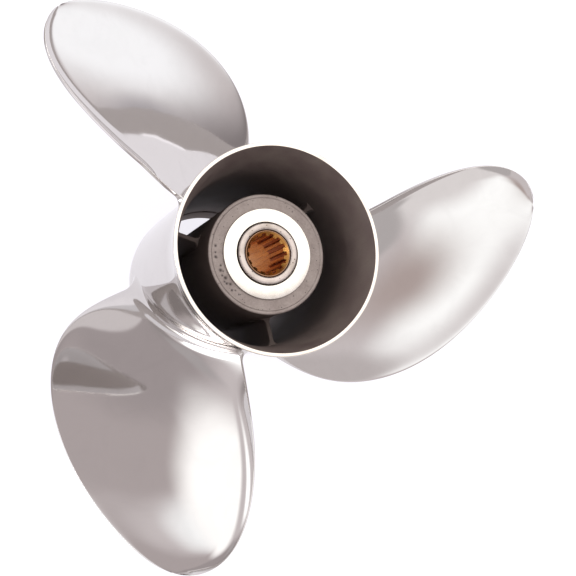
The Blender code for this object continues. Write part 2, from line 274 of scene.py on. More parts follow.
def bladeOutline(radius, growth=0.0):
    # unrolled outline at a radius: nose, back, rounded tail, face; X runs to the trailing edge, Y aft
    size = bladeSize
    share = radius / size["tipRadius"]
    root = barrelSize["radius"] / size["tipRadius"]
    spread = max((share - root) / (1.0 - root), 0.0)
    chord = chordAt(share) * math.sqrt(max(1.0 - spread ** size["tipRounding"], 0.0))
    chord = math.hypot(chord, size["tipChord"])
    thick = thicknessAt(share)
    cupWidth = min(size["cupWidth"], size["cupShare"] * chord)
    step = min(max((share - size["cupFrom"]) / (size["cupFull"] - size["cupFrom"]), 0.0), 1.0)
    cupLift = size["cupLift"] * step * step * (3.0 - 2.0 * step) * cupWidth / size["cupWidth"]
    edge = min(size["trailingEdge"], thick, size["edgeShare"] * chord) / 2
    corner = min(size["edgeRound"], size["cornerShare"] * edge)
    along = (1.0 - np.cos(np.linspace(0.0, math.pi, size["chordSteps"] + 1))) / 2
    peak = size["thickestAt"]
    fore = along < peak
    away = np.abs(along - peak) / np.where(fore, peak, 1.0 - peak)
    swell = np.where(fore, np.sqrt(np.maximum(1.0 - away**2, 0.0)), 1.0 - away**2)
    half = (thick / 2 - edge * along) * swell + edge * along
    hook = np.maximum(along - 1.0 + cupWidth / chord, 0.0) * chord / cupWidth
    mean = cupLift * hook**2 - size["camber"] * chord * 4.0 * along * (1.0 - along)
    x = along * (chord - corner) - chord / 2
    back = np.column_stack([x, mean - half])
    face = np.column_stack([x, mean + half])
    end, steps = chord / 2 - corner, size["tailSteps"]
    tail = arc((end, cupLift - edge + corner), (corner, corner), -90.0, 0.0, steps)[1:]
    tail += arc((end, cupLift + edge - corner), (corner, corner), 0.0, 90.0, steps)[:-1]
    points = np.vstack([back, tail, face[:0:-1]])
    if growth > 0.0:
        tangent = np.roll(points, -1, axis=0) - np.roll(points, 1, axis=0)
        normal = np.column_stack([tangent[:, 1], -tangent[:, 0]])
        points = points + growth * normal / np.linalg.norm(normal, axis=1, keepdims=True)
    return points


def wrapOutline(points, radius, aboveBarrel=None):
    # lays an unrolled outline round the shaft, at its radius or at a height above the barrel
    share = radius / bladeSize["tipRadius"]
    slope = math.atan2(pitchAt(share), math.tau * radius)
    x, y = points[:, 0], points[:, 1]
    around = math.radians(skewAt(share)) + (x * math.cos(slope) - y * math.sin(slope)) / radius
    height = heightAt(share) + x * math.sin(slope) + y * math.cos(slope)
    reach = radius if aboveBarrel is None else barrelOuter(height) + aboveBarrel
    return np.column_stack([reach * np.cos(around), reach * np.sin(around), height])


def bladeRows():
    # outlines from under the barrel's skin, up the root fillet and out to the tip
    size = bladeSize
    fillet = size["fillet"]
    base = barrelSize["radius"]
    rows = [wrapOutline(bladeOutline(base, fillet + size["skirtWidth"]), base, -size["skirtDepth"])]
    for turn in np.linspace(0.0, math.pi / 2, size["filletSteps"] + 1):
        rise, growth = fillet * (1.0 - math.cos(turn)), fillet * (1.0 - math.sin(turn))
        rows.append(wrapOutline(bladeOutline(base + rise, growth), base + rise, rise))
    start = base + fillet
    for turn in np.linspace(0.0, math.pi / 2, size["spanSteps"] + 1)[1:]:
        radius = start + (size["tipRadius"] - start) * math.sin(turn)
        rows.append(wrapOutline(bladeOutline(radius), radius))
    return np.array(rows)


def closeRing(first, count):
    # faces across a ring of the outline, from the nose to the tail
    steps = bladeSize["chordSteps"]
    back = list(range(first, first + steps + 1))
    face = [first] + list(range(first + count - 1, first + count - steps - 1, -1))
    faces = [(back[0], back[1], face[1])]
    faces += [(back[i], back[i + 1], face[i + 1], face[i]) for i in range(1, steps)]
    tail = list(range(back[-1], face[-1] + 1))
    return faces + [tuple(tail)]


def makeBlade(number):
    rows = bladeRows()
    count = rows.shape[1]
    faces = gridFaces(len(rows), count) + closeRing((len(rows) - 1) * count, count)
    faces += [face[::-1] for face in closeRing(0, count)]
    turn = Matrix.Rotation(number * math.tau / bladeSize["count"], 3, "Z")
    points = rows.reshape(-1, 3) @ np.array(turn).T
    return finishMesh(f"blade{number + 1}", points, faces, sharpAbove=40.0)


blades = [makeBlade(number) for number in range(bladeSize["count"])]
print("blades made")


# Inner hub with its cast end and machined land

hubSize = {
    "recess": 20.2,
    "fore": 6.0,
    "radiusAft": 33.2,
    "radiusFore": 33.0,
    "edge": 0.8,
    "shoulder": 11.0,
    "landRadius": 24.9,
    "landHeight": 1.2,
    "landEdge": 0.25,
    "landFillet": 0.3,
    "mouth": 17.4,
    "mouthEdge": 0.2,
    "bush": 26.6,
    "lineAt": 31.2,  # a fine turned line near the outer edge
    "lineHalf": 0.3,
    "lineDepth": 0.25,
    "steps": 480,
    "edgeSteps": 5,
    "landSteps": 3,
    "faceSteps": 29,
    "wallSteps": 23,
    "pitBand": (25.4, 32.2),  # pits only sink the face between these radii
    "pitLevel": 0.4,
    # casting pits: angle, radius, half width, depth
    "pits": (
        (188, 29.1, 0.55, 0.5), (195, 29.2, 0.35, 0.4), (200, 29.0, 0.65, 0.5), (210, 27.2, 0.45, 0.4),
        (215, 28.0, 0.7, 0.6), (217, 26.9, 0.4, 0.4), (221, 28.3, 0.45, 0.4), (225, 27.3, 0.75, 0.6),
        (228, 28.9, 0.4, 0.4), (231, 28.4, 0.55, 0.5), (234, 27.0, 0.6, 0.5), (240, 28.6, 0.5, 0.5),
        (243, 27.3, 0.35, 0.4), (249, 27.8, 0.4, 0.4), (72, 28.6, 0.3, 0.3), (318, 27.1, 0.3, 0.3),
    ),
}
hubEnd = barrelSize["length"] - hubSize["recess"]
landTop = hubEnd + hubSize["landHeight"]


def hubOuter(height):
    # the hub's slightly tapered outer radius at a height
    size = hubSize
    share = (np.asarray(height, float) - size["fore"]) / (hubEnd - size["fore"])
    return size["radiusFore"] + (size["radiusAft"] - size["radiusFore"]) * share


def makeHub():
    size = hubSize
    edge, landEdge, fillet = size["edge"], size["landEdge"], size["landFillet"]
    land, landSteps = size["landRadius"], size["landSteps"]
    mouth, mouthEdge = size["mouth"], size["mouthEdge"]
    shoulder = hubEnd - size["shoulder"]
    profile = arc((land - landEdge, landTop - landEdge), (landEdge, landEdge), 90.0, 0.0, landSteps)
    profile += arc((land + fillet, hubEnd + fillet), (fillet, fillet), 180.0, 270.0, landSteps)
    for radius in np.linspace(land + fillet, size["radiusAft"] - edge, size["faceSteps"] + 1)[1:-1]:
        away = abs(radius - size["lineAt"]) / size["lineHalf"]
        profile.append((radius, hubEnd - size["lineDepth"] * max(1.0 - away, 0.0)))
    profile += arc((size["radiusAft"] - edge, hubEnd - edge), (edge, edge), 90.0, 0.0, size["edgeSteps"])
    wall = np.linspace(hubEnd - edge, size["fore"], size["wallSteps"] + 1)[1:]
    profile += [(float(hubOuter(height)), height) for height in wall]
    profile += [(size["bush"], size["fore"]), (size["bush"], shoulder)]
    profile += [(mouth, shoulder), (mouth, landTop - mouthEdge), (mouth + mouthEdge, landTop)]
    return turnedPiece("innerHub", profile, size["steps"], sharpAbove=30.0)


def pitHub(piece):
    # sinks the casting pits into the as-cast face and marks them with a weight for painted shade in the pits
    pitShade = piece.data.attributes.new("pitShade", "FLOAT", "POINT")
    inner, outer = hubSize["pitBand"]
    for vertex in piece.data.vertices:
        x, y, z = vertex.co / mm
        if abs(z - hubEnd) > hubSize["pitLevel"] or not inner < math.hypot(x, y) < outer:
            continue
        for angle, radius, half, depth in hubSize["pits"]:
            turn = math.radians(angle)
            away = math.hypot(x - radius * math.cos(turn), y - radius * math.sin(turn)) / half
            share = math.exp(-away * away)
            vertex.co.z -= depth * share * mm
            pitShade.data[vertex.index].value = max(pitShade.data[vertex.index].value, share)


innerHub = makeHub()
pitHub(innerHub)
print("hub made")


# Ribs between the inner hub and the barrel

ribSize = {
    "count": 3,
    "angle": 57.5,
    "thickness": 2.5,
    "recess": 23.6,
    "fore": 14.0,
    "edge": 0.6,
    "fillet": 3.0,
    "hubSink": 0.4,  # the ends run into the walls, as they do in one casting
    "barrelSink": 0.5,
    "spanSpare": 0.6,
    "spanSteps": 32,
    "cornerSteps": 4,
}


def makeRib(number):
    size = ribSize
    aft = hubEnd - size["recess"]
    sink, corner = size["hubSink"], size["cornerSteps"]
    inner, outer = float(hubOuter(aft)) - sink, float(barrelInner(aft)) + size["spanSpare"]
    half, fillet, edge = size["thickness"] / 2, size["fillet"], size["edge"]
    rows = []
    for share in (1.0 - np.cos(np.linspace(0.0, math.pi, size["spanSteps"] + 1))) / 2:
        away = min(share, 1.0 - share) * (outer - inner) - sink
        grow = fillet - math.sqrt(max(fillet**2 - max(fillet - max(away, 0.0), 0.0) ** 2, 0.0))
        side = half + grow
        ring = []
        for cy, cz, first in ((1, 1, 0.0), (-1, 1, 90.0), (-1, -1, 180.0), (1, -1, 270.0)):
            centre = (cy * (side - edge), (aft - edge) if cz > 0 else (size["fore"] + edge))
            ring += arc(centre, (edge, edge), first, first + 90.0, corner)
        for y, z in ring:
            low = float(hubOuter(z)) - sink
            high = math.sqrt((float(barrelInner(z)) + size["barrelSink"]) ** 2 - y * y)
            rows.append((low + (high - low) * share, y, z))
    count = 4 * (corner + 1)
    steps = len(rows) // count
    faces = gridFaces(steps, count)
    faces += [tuple(range(count))[::-1], tuple(range((steps - 1) * count, steps * count))]
    turn = Matrix.Rotation(math.radians(size["angle"] + number * 360.0 / size["count"]), 3, "Z")
    points = np.array(rows) @ np.array(turn).T
    return finishMesh(f"rib{number + 1}", points, [face[::-1] for face in faces], sharpAbove=50.0)


ribs = [makeRib(number) for number in range(ribSize["count"])]
print("ribs made")


# Steel sleeve, rubber bush and splined brass insert

boreSize = {
    "teeth": 15,
    "phase": 18.0,
    "tip": 10.0,
    "toothHeight": 1.2,
    "splineLength": 28.0,
    "spaceAtTip": 6.8,
    "spaceAtRoot": 4.8,
    "relief": 0.4,
    "insertWall": 1.2,
    "insertBack": 0.4,
    "insertFore": 5.0,
    "insertEdge": 0.3,
    "lead": 2.2,
    "sleeveWall": 3.8,
    "sleeveFore": 3.0,
    "sleeveShow": 0.2,
    "sleeveCrown": 1.1,
    "crownPower": 3,
    "bushFore": 12.0,
    "bushEdge": 1.0,
    "bushSeam": 0.1,
    "bushGrip": 0.05,
    "seam": 0.3,
    "sleeveSteps": 240,
    "crownSteps": 40,
    "bushSteps": 180,
    "bushEdgeSteps": 5,
    "toothSteps": 48,
    "plainRows": 20,
    "splineRows": 16,
    "leadRows": 12,
}
splineRoot = boreSize["tip"] + boreSize["toothHeight"]
boreRadius = splineRoot + boreSize["relief"]
insertRadius = boreRadius + boreSize["insertWall"]
sleeveBore = insertRadius + boreSize["seam"]
sleeveRadius = sleeveBore + boreSize["sleeveWall"]
sleeveAft = landTop + boreSize["sleeveShow"]
insertTop = sleeveAft + boreSize["sleeveCrown"] - boreSize["insertBack"]
leadEnd = insertTop - boreSize["lead"]


def makeSleeve():
    size = boreSize
    middle, half = sleeveBore + size["sleeveWall"] / 2, size["sleeveWall"] / 2
    power, steps = size["crownPower"], size["crownSteps"]
    crown = []
    for x in np.cos(np.linspace(0.0, math.pi, steps + 1)):
        rise = size["sleeveCrown"] * (1.0 - abs(x) ** power) ** (1 / power)
        crown.append((middle + half * x, sleeveAft + rise))
    fore = [(sleeveRadius, size["sleeveFore"]), (sleeveBore, size["sleeveFore"])]
    profile = crown[steps // 2 :: -1] + fore + crown[: steps // 2 : -1]
    return turnedPiece("steelSleeve", profile, size["sleeveSteps"], sharpAbove=40.0)


def makeBush():
    size = boreSize
    edge, seam, steps = size["bushEdge"], size["bushSeam"], size["bushEdgeSteps"]
    outer, inner = hubSize["bush"] - seam, sleeveRadius + size["bushGrip"]
    top, fore = hubEnd - hubSize["shoulder"] - seam, size["bushFore"]
    profile = [(outer, top), (outer, fore + edge)]
    profile += arc((outer - edge, fore + edge), (edge, edge), 0.0, -90.0, steps)[1:]
    profile += arc((inner + edge, fore + edge), (edge, edge), 270.0, 180.0, steps)
    profile += [(inner, top)]
    return turnedPiece("rubberBush", profile, size["bushSteps"], sharpAbove=40.0)


def makeInsert():
    size = boreSize
    top, edge, fore = insertTop, size["insertEdge"], size["insertFore"]
    splineEnd = top - size["splineLength"]
    angle = np.linspace(0.0, math.tau, size["teeth"] * size["toothSteps"], endpoint=False)
    pitch = 360.0 / size["teeth"]
    away = np.abs((np.degrees(angle) - size["phase"] + pitch / 2) % pitch - pitch / 2)
    share = np.clip((size["spaceAtTip"] - away) / (size["spaceAtTip"] - size["spaceAtRoot"]), 0.0, 1.0)
    toothed = size["tip"] + size["toothHeight"] * share
    rows = [(insertRadius, top - edge), (insertRadius, fore), (boreRadius, fore)]
    rows += [(boreRadius, height) for height in np.linspace(fore, splineEnd, size["plainRows"])[1:]]
    rows = [(np.full_like(angle, radius), height) for radius, height in rows]
    rows += [(toothed, height) for height in np.linspace(splineEnd, leadEnd, size["splineRows"])]
    for height in np.linspace(leadEnd, top, size["leadRows"])[1:]:
        rows.append((np.maximum(toothed, size["tip"] + height - top + size["lead"]), height))
    rows.append((np.full_like(angle, insertRadius - edge), top))
    across, along = np.cos(angle), np.sin(angle)
    points = [np.column_stack([r * across, r * along, np.full_like(angle, z)]) for r, z in rows]
    faces = [face[::-1] for face in gridFaces(len(rows), len(angle), closeRows=True)]
    return finishMesh("splineInsert", np.vstack(points), faces, sharpAbove=30.0)


steelSleeve = makeSleeve()
rubberBush = makeBush()
splineInsert = makeInsert()
print("bore pieces made")


# Materials. Pattern sizes are millimetres on the real thing


def metres(size):
    # pattern scale in Object coordinates for a feature of this many millimetres
    return 1.0 / (size * mm)


def shaftPlace(tree):
    # place of a point by its distance from the shaft: (radius, height, 0)
    place = addNode(tree, "TexCoord").outputs["Object"]
    flat = addNode(tree, "VectorMath", {0: place, 1: (1.0, 1.0, 0.0)}, operation="MULTIPLY")
    radius = addNode(tree, "VectorMath", {0: flat.outputs["Vector"]}, operation="LENGTH")
    height = addNode(tree, "SeparateXYZ", {"Vector": place})
    return place, radius.outputs["Value"], height.outputs["Z"]


# Polished cast stainless, belt ground and mopped: it mirrors the studio, a little wavy where the belt
# dwelt, with a faint haze of polishing marks

polishedLook = {
    "colour": "#CFCBC9",
    "filmColour": "#CCC8C6",
    "filmSize": 22.0,
    "waveSize": 30.0,
    "waveDepth": 0.1,
    "markWidth": 0.9,  # real marks are about 0.2 wide, drawn coarser so that they show
    "markLength": 26.0,
    "markSlant": 0.6,
    "markDepth": 0.0016,
    "roughness": (0.05, 0.09),
}


def makePolished(look):
    made, tree, shader = newMaterial("polishedCastStainless", {"Metallic": 1.0})
    place, radius, height = shaftPlace(tree)
    wave = addNode(tree, "TexNoise", {
        "Vector": place, "Scale": metres(look["waveSize"]), "Detail": 1.0, "Roughness": 0.35,
    })
    film = addNode(tree, "TexNoise", {
        "Vector": place, "Scale": metres(look["filmSize"]),
        "Detail": 5.0, "Roughness": 0.6, "Distortion": 1.4,
    })
    spread = addNode(tree, "MapRange", {"Value": film.outputs["Fac"], "From Min": 0.45, "From Max": 0.75})
    colour = addNode(tree, "Mix", {
        0: spread.outputs["Result"], 6: linear(look["colour"]), 7: linear(look["filmColour"]),
    }, data_type="RGBA")
    slow = addNode(tree, "VectorMath", {0: place, "Scale": metres(look["markLength"])}, operation="SCALE")
    across = addNode(tree, "Math", {0: height, 1: look["markSlant"], 2: radius}, operation="MULTIPLY_ADD")
    fast = addNode(tree, "Math", {
        0: across.outputs["Value"], 1: metres(look["markWidth"]),
    }, operation="MULTIPLY")
    lane = addNode(tree, "CombineXYZ", {"Z": fast.outputs["Value"]})
    grain = addNode(tree, "VectorMath", {
        0: slow.outputs["Vector"], 1: lane.outputs["Vector"],
    }, operation="ADD")
    marks = addNode(tree, "TexNoise", {"Vector": grain.outputs["Vector"], "Scale": 1.0, "Detail": 3.0})
    blend = addNode(tree, "Math", {
        0: marks.outputs["Fac"], 1: spread.outputs["Result"],
    }, operation="MULTIPLY")
    rough = addNode(tree, "MapRange", {
        "Value": blend.outputs["Value"], "From Max": 0.6,
        "To Min": look["roughness"][0], "To Max": look["roughness"][1],
    })
    swim = addNode(tree, "Bump", {
        "Height": wave.outputs["Fac"], "Strength": 1.0, "Distance": look["waveDepth"] * mm,
    })
    scratched = addNode(tree, "Bump", {
        "Height": marks.outputs["Fac"], "Strength": 1.0, "Distance": look["markDepth"] * mm,
        "Normal": swim.outputs["Normal"],
    })
    tree.links.new(colour.outputs[2], shader.inputs["Base Color"])
    tree.links.new(rough.outputs["Result"], shader.inputs["Roughness"])
    tree.links.new(scratched.outputs["Normal"], shader.inputs["Normal"])
    return made


# Blasted stainless inside the barrel, darkened by heat: matte charcoal brown, mottled, with fine grit

blastedLook = {
    "colour": "#5C4E4B",
    "paleColour": "#6C605A",
    "mottleSize": 16.0,
    "gritSize": 0.9,
    "gritDepth": 0.06,
    "metallic": 0.1,
    "roughness": (0.62, 0.8),
}


def makeBlasted(look):
    made, tree, shader = newMaterial("blastedStainless", {"Metallic": look["metallic"]})
    place = addNode(tree, "TexCoord").outputs["Object"]
    mottle = addNode(tree, "TexNoise", {
        "Vector": place, "Scale": metres(look["mottleSize"]), "Detail": 6.0, "Roughness": 0.6,
    })
    share = addNode(tree, "MapRange", {"Value": mottle.outputs["Fac"], "From Min": 0.35, "From Max": 0.7})
    colour = addNode(tree, "Mix", {
        0: share.outputs["Result"], 6: linear(look["colour"]), 7: linear(look["paleColour"]),
    }, data_type="RGBA")
    rough = addNode(tree, "MapRange", {
        "Value": mottle.outputs["Fac"], "From Min": 0.3, "From Max": 0.7,
        "To Min": look["roughness"][0], "To Max": look["roughness"][1],
    })
    grit = addNode(tree, "TexNoise", {"Vector": place, "Scale": metres(look["gritSize"]), "Detail": 3.0})
    bump = addNode(tree, "Bump", {
        "Height": grit.outputs["Fac"], "Strength": 1.0, "Distance": look["gritDepth"] * mm,
    })
    tree.links.new(colour.outputs[2], shader.inputs["Base Color"])
    tree.links.new(rough.outputs["Result"], shader.inputs["Roughness"])
    tree.links.new(bump.outputs["Normal"], shader.inputs["Normal"])
    return made


# Cast stainless end of the hub, as it left the investment shell: grey, grainy, a few dark pinholes,
# and painted shade in the sunk casting pits

castLook = {
    "colour": "#877B77",
    "paleColour": "#9D928D",
    "holeColour": "#2B2422",
    "grainSize": 1.1,
    "stainSize": 9.0,
    "holeSize": 2.4,
    "grainDepth": 0.05,
    "metallic": 0.6,
    "roughness": 0.5,
}


def makeCast(look):
    made, tree, shader = newMaterial("castStainless", {
        "Metallic": look["metallic"], "Roughness": look["roughness"],
    })
    place = addNode(tree, "TexCoord").outputs["Object"]
    grain = addNode(tree, "TexNoise", {
        "Vector": place, "Scale": metres(look["grainSize"]), "Detail": 4.0, "Roughness": 0.7,
    })
    stain = addNode(tree, "TexNoise", {"Vector": place, "Scale": metres(look["stainSize"]), "Detail": 4.0})
    mixed = addNode(tree, "Math", {0: grain.outputs["Fac"], 1: stain.outputs["Fac"]}, operation="ADD")
    share = addNode(tree, "MapRange", {"Value": mixed.outputs["Value"], "From Min": 0.75, "From Max": 1.3})
    colour = addNode(tree, "Mix", {
        0: share.outputs["Result"], 6: linear(look["colour"]), 7: linear(look["paleColour"]),
    }, data_type="RGBA")
    hole = addNode(tree, "TexVoronoi", {"Vector": place, "Scale": metres(look["holeSize"])})
    pin = addNode(tree, "MapRange", {
        "Value": hole.outputs["Distance"], "From Min": 0.08, "From Max": 0.13, "To Min": 1.0, "To Max": 0.0,
    })
    # painted shade: the pit weight darkens the sunk pits to the hole colour, beyond the shade their geometry
    # casts
    pitShade = addNode(tree, "Attribute", attribute_name="pitShade")
    dark = addNode(tree, "Math", {0: pin.outputs["Result"], 1: pitShade.outputs["Fac"]}, operation="ADD",
                   use_clamp=True)
    pitted = addNode(tree, "Mix", {
        0: dark.outputs["Value"], 6: colour.outputs[2], 7: linear(look["holeColour"]),
    }, data_type="RGBA")
    bump = addNode(tree, "Bump", {
        "Height": grain.outputs["Fac"], "Strength": 1.0, "Distance": look["grainDepth"] * mm,
    })
    tree.links.new(pitted.outputs[2], shader.inputs["Base Color"])
    tree.links.new(bump.outputs["Normal"], shader.inputs["Normal"])
    return made


# Turned metal: fine concentric tool marks round the shaft. It is bright on the land, buffed smoother
# on the barrel's rim, and greyer on the plated sleeve, with a few small dark specks

turnedLook = {
    "colour": "#DCD6D0",
    "stainColour": "#CEC6BE",
    "speckColour": "#5A4A40",
    "speckSize": 2.6,
    "speckShare": 0.0,
    "markPitch": 0.7,  # the tool feed is about 0.15, drawn coarser so that it shows
    "markDepth": 0.004,
    "stainSize": 7.0,
    "roughness": (0.16, 0.28),
}
rimLook = dict(
    turnedLook, colour="#DAD2CB", stainColour="#C4B8B0", stainSize=16.0, roughness=(0.07, 0.13),
)
platedLook = dict(
    turnedLook, colour="#BFB4AF", stainColour="#A2978F", speckShare=0.16, roughness=(0.3, 0.45),
)


def makeTurned(name, look):
    made, tree, shader = newMaterial(name, {"Metallic": 1.0})
    place, radius, height = shaftPlace(tree)
    across = addNode(tree, "Math", {0: radius, 1: height}, operation="ADD")
    lane = addNode(tree, "Math", {
        0: across.outputs["Value"], 1: metres(look["markPitch"]),
    }, operation="MULTIPLY")
    marks = addNode(tree, "TexNoise", {"W": lane.outputs["Value"], "Scale": 1.0, "Detail": 2.0},
                    noise_dimensions="1D")
    stain = addNode(tree, "TexNoise", {
        "Vector": place, "Scale": metres(look["stainSize"]), "Detail": 5.0, "Roughness": 0.6,
    })
    share = addNode(tree, "MapRange", {"Value": stain.outputs["Fac"], "From Min": 0.4, "From Max": 0.75})
    colour = addNode(tree, "Mix", {
        0: share.outputs["Result"], 6: linear(look["colour"]), 7: linear(look["stainColour"]),
    }, data_type="RGBA")
    if look["speckShare"]:
        speck = addNode(tree, "TexVoronoi", {"Vector": place, "Scale": metres(look["speckSize"])})
        spot = addNode(tree, "MapRange", {
            "Value": speck.outputs["Distance"],
            "From Min": look["speckShare"] * 0.6, "From Max": look["speckShare"],
            "To Min": 1.0, "To Max": 0.0,
        })
        colour = addNode(tree, "Mix", {
            0: spot.outputs["Result"], 6: colour.outputs[2], 7: linear(look["speckColour"]),
        }, data_type="RGBA")
    rough = addNode(tree, "MapRange", {
        "Value": marks.outputs["Fac"], "From Min": 0.3, "From Max": 0.7,
        "To Min": look["roughness"][0], "To Max": look["roughness"][1],
    })
    bump = addNode(tree, "Bump", {
        "Height": marks.outputs["Fac"], "Strength": 1.0, "Distance": look["markDepth"] * mm,
    })
    tree.links.new(colour.outputs[2], shader.inputs["Base Color"])
    tree.links.new(rough.outputs["Result"], shader.inputs["Roughness"])
    tree.links.new(bump.outputs["Normal"], shader.inputs["Normal"])
    return made


# Broached brass with a thin film of old grease: sandy where it is worn, red-brown in the tooth
# spaces. Pairs are the radii in millimetres between which one state passes into the next

brassLook = {
    "colour": "#DFA75E",
    "filmColour": "#9A5010",
    "edgeColour": "#8C6C56",
    "ridge": (10.2, 10.9),  # the film thickens from the tooth tops into the spaces
    "plain": (11.3, 11.5),  # the plain bore past the teeth is nearly bare again
    "lead": (-0.4, 0.2),  # so is the lead-in, by height from where it starts
    "edge": (12.0, 12.2),  # and the mouth's edge is dull
    "film": 0.9,
    "plainFilm": 0.12,
    "leadFilm": 0.15,
    "streakWidth": 0.8,
    "streakLength": 16.0,
    "streakShare": 0.3,
    "streakDepth": 0.004,
    "roughness": (0.2, 0.34),
}


def makeBrass(look):
    made, tree, shader = newMaterial("broachedBrass", {"Metallic": 1.0})
    place, radius, height = shaftPlace(tree)
    thin = metres(look["streakWidth"])
    grain = addNode(tree, "VectorMath", {
        0: place, 1: (thin, thin, metres(look["streakLength"])),
    }, operation="MULTIPLY")
    streak = addNode(tree, "TexNoise", {"Vector": grain.outputs["Vector"], "Scale": 1.0, "Detail": 3.0})
    deep = addNode(tree, "MapRange", {
        "Value": radius, "From Min": look["ridge"][0] * mm, "From Max": look["ridge"][1] * mm,
        "To Max": look["film"],
    })
    bare = addNode(tree, "MapRange", {
        "Value": radius, "From Min": look["plain"][0] * mm, "From Max": look["plain"][1] * mm,
        "To Min": look["film"], "To Max": look["plainFilm"],
    })
    film = addNode(tree, "Math", {
        0: deep.outputs["Result"], 1: bare.outputs["Result"],
    }, operation="MINIMUM")
    below = addNode(tree, "MapRange", {
        "Value": height,
        "From Min": (leadEnd + look["lead"][0]) * mm, "From Max": (leadEnd + look["lead"][1]) * mm,
        "To Min": 1.0, "To Max": look["leadFilm"],
    })
    kept = addNode(tree, "Math", {
        0: film.outputs["Value"], 1: below.outputs["Result"],
    }, operation="MULTIPLY")
    share = addNode(tree, "MapRange", {
        "Value": streak.outputs["Fac"], "From Min": 0.35, "From Max": 0.75,
        "To Min": 0.0, "To Max": look["streakShare"],
    })
    both = addNode(tree, "Math", {0: kept.outputs["Value"], 1: share.outputs["Result"]}, operation="ADD",
                   use_clamp=True)
    colour = addNode(tree, "Mix", {
        0: both.outputs["Value"], 6: linear(look["colour"]), 7: linear(look["filmColour"]),
    }, data_type="RGBA")
    mouth = addNode(tree, "MapRange", {
        "Value": radius, "From Min": look["edge"][0] * mm, "From Max": look["edge"][1] * mm,
    })
    dulled = addNode(tree, "Mix", {
        0: mouth.outputs["Result"], 6: colour.outputs[2], 7: linear(look["edgeColour"]),
    }, data_type="RGBA")
    rough = addNode(tree, "MapRange", {
        "Value": streak.outputs["Fac"], "From Min": 0.3, "From Max": 0.7,
        "To Min": look["roughness"][0], "To Max": look["roughness"][1],
    })
    bump = addNode(tree, "Bump", {
        "Height": streak.outputs["Fac"], "Strength": 1.0, "Distance": look["streakDepth"] * mm,
    })
    tree.links.new(dulled.outputs[2], shader.inputs["Base Color"])
    tree.links.new(rough.outputs["Result"], shader.inputs["Roughness"])
    tree.links.new(bump.outputs["Normal"], shader.inputs["Normal"])
    return made


# Moulded rubber: near black, with the dull bloom and fine grain that a mould leaves

rubberLook = {
    "colour": "#151313",
    "bloomColour": "#2A2726",
    "bloomSize": 6.0,
    "grainSize": 0.5,
    "grainDepth": 0.03,
    "roughness": 0.68,
    "ior": 1.52,
}


def makeRubber(look):
    made, tree, shader = newMaterial("mouldedRubber", {"Roughness": look["roughness"], "IOR": look["ior"]})
    place = addNode(tree, "TexCoord").outputs["Object"]
    bloom = addNode(tree, "TexNoise", {"Vector": place, "Scale": metres(look["bloomSize"]), "Detail": 5.0})
    colour = addNode(tree, "Mix", {
        0: bloom.outputs["Fac"], 6: linear(look["colour"]), 7: linear(look["bloomColour"]),
    }, data_type="RGBA")
    grain = addNode(tree, "TexNoise", {"Vector": place, "Scale": metres(look["grainSize"]), "Detail": 2.0})
    bump = addNode(tree, "Bump", {
        "Height": grain.outputs["Fac"], "Strength": 1.0, "Distance": look["grainDepth"] * mm,
    })
    tree.links.new(colour.outputs[2], shader.inputs["Base Color"])
    tree.links.new(bump.outputs["Normal"], shader.inputs["Normal"])
    return made


polishedSteel = makePolished(polishedLook)
darkSteel = makeBlasted(blastedLook)
castSteel = makeCast(castLook)
machinedSteel = makeTurned("turnedStainless", turnedLook)
rimSteel = makeTurned("buffedRim", rimLook)
platedSteel = makeTurned("platedSteel", platedLook)
brass = makeBrass(brassLook)
rubber = makeRubber(rubberLook)
print("materials made")


def dress(piece, finishes, choose=None):
    # choose tells each face's finish from its centre in millimetres and its normal
    piece.data.materials.clear()
    for finish in finishes:
        piece.data.materials.append(finish)
    if choose:
        for face in piece.data.polygons:
            face.material_index = choose(face.center / mm, face.normal)


def barrelFinish(centre, normal):
    # buffed on the flat of the rim, blasted on what faces the shaft, polished elsewhere
    if normal.z > 0.9 and centre.z > barrelSize["length"] - 1.0:
        return 1
    outward = (normal.x * centre.x + normal.y * centre.y) / math.hypot(centre.x, centre.y)
    return 2 if outward < -0.3 and centre.z > 1.0 else 0


def hubFinish(centre, normal):
    # turned on the land, blasted on the sides, as cast on the rest of the aft end
    radius = math.hypot(centre.x, centre.y)
    if radius < hubSize["landRadius"] + 0.1 and centre.z > hubEnd:
        return 1
    if radius > hubSize["radiusAft"] - 0.1 or centre.z < hubEnd - 0.5:
        return 2
    return 0


dress(exhaustBarrel, [polishedSteel, rimSteel, darkSteel], barrelFinish)
for blade in blades:
    dress(blade, [polishedSteel])
dress(innerHub, [castSteel, machinedSteel, darkSteel], hubFinish)
for rib in ribs:
    dress(rib, [darkSteel])
dress(steelSleeve, [platedSteel])
dress(rubberBush, [rubber])
dress(splineInsert, [brass])
print("finishes given")


# Floor: pale grey ground with white light sheets on it. The main sheet reaches past the picture on
# every side, with a thin brighter border on the right. Outside the picture a dimmer sheet adjoins it
# at the upper left, a far one lies to the left and a brighter one to the lower left. The polished
# steel mirrors them all, and the dark shape on the lower blade is bare ground between them

